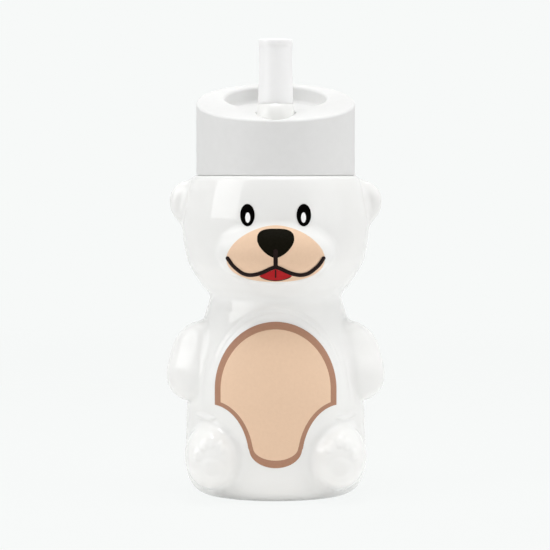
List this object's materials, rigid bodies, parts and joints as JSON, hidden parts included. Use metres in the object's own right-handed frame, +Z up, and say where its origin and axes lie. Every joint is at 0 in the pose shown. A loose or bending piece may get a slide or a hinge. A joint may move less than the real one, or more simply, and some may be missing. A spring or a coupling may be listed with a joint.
{
  "type": "bear-shaped water bottle",
  "caption": "Hollow bear-shaped drinking bottle with a sloping screw lid, a flip-down spout, a straw and printed face and belly films.",
  "frame": {"origin": "centre of the flat base on the surface that it stands on", "axes": "+Z up along the neck, the bear faces -Y, +X to the viewer's right"},
  "size_m": [0.0866, 0.0767, 0.1801],
  "materials": {
    "bottle_white": "glossy",
    "lid_white": "smooth matte",
    "hub_white": "satin",
    "silicone": "translucent white",
    "straw_white": "translucent white",
    "tan_print": "printed",
    "black_print": "printed"
  },
  "bodies": {
    "bottle": {"bottle_body": "bottle_white", "belly_label": "tan_print", "muzzle_label": "tan_print", "eye_label_left": "black_print", "eye_label_right": "black_print"},
    "gasket": {"neck_gasket": "silicone"},
    "lid": {"lid_shell": "lid_white", "spout_seal": "silicone", "drinking_straw": "straw_white", "vent_valve": "silicone"},
    "spout": {"spout_hub": "hub_white", "mouthpiece": "silicone"}
  },
  "joints": [
    {"name": "lid_rise", "type": "slide", "parent": "bottle", "child": "gasket", "axis": [0, 0, 1], "range_m": [0, 0.008]},
    {"name": "lid_turn", "type": "hinge", "parent": "gasket", "child": "lid", "pos_m": [0, 0, 0.1268], "axis": [0, 0, 1], "range_deg": [0, 720]},
    {"name": "spout_flip", "type": "hinge", "parent": "lid", "child": "spout", "pos_m": [0, -0.017, 0.14918], "axis": [-1, 0, 0], "range_deg": [0, 75]}
  ],
  "couplings": [
    {"joint": "lid_rise", "follows": "lid_turn", "m_per_rad": 0.00063662}
  ]
}
